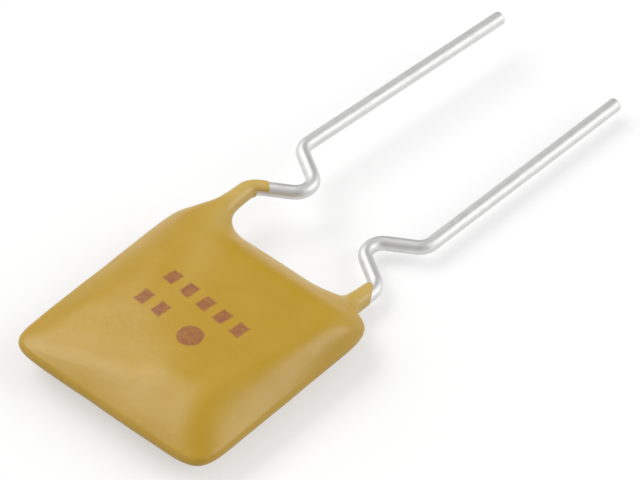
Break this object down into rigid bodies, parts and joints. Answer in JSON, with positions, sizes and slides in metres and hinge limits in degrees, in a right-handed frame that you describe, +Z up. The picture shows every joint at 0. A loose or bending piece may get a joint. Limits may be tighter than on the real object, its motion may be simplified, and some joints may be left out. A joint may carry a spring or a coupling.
{
  "type": "resettable fuse",
  "caption": "Radial-leaded polymer resettable fuse: a square pillow of ochre dipped epoxy with tinned wire leads that kink inward and run straight, lying on its back",
  "frame": {"origin": "centre of the flat of the back face, which the fuse lies on", "axes": "+X across the leads, from the front lead to the rear lead; +Y along the leads, from the body to their tips; +Z up, from the back face to the front face"},
  "size_m": [0.0086, 0.023, 0.0021],
  "materials": {
    "epoxy": "ochre dipped epoxy with a satin sheen",
    "polymer": "black carbon-filled polymer",
    "foil": "nickel-plated copper foil",
    "solder": "dull solder",
    "tinned_wire": "bright tinned copper wire"
  },
  "bodies": {
    "root": {"coating": "epoxy", "polymer_chip": "polymer", "front_foil": "foil", "rear_foil": "foil", "front_solder": "solder", "rear_solder": "solder", "front_lead": "tinned_wire", "rear_lead": "tinned_wire"}
  },
  "joints": []
}
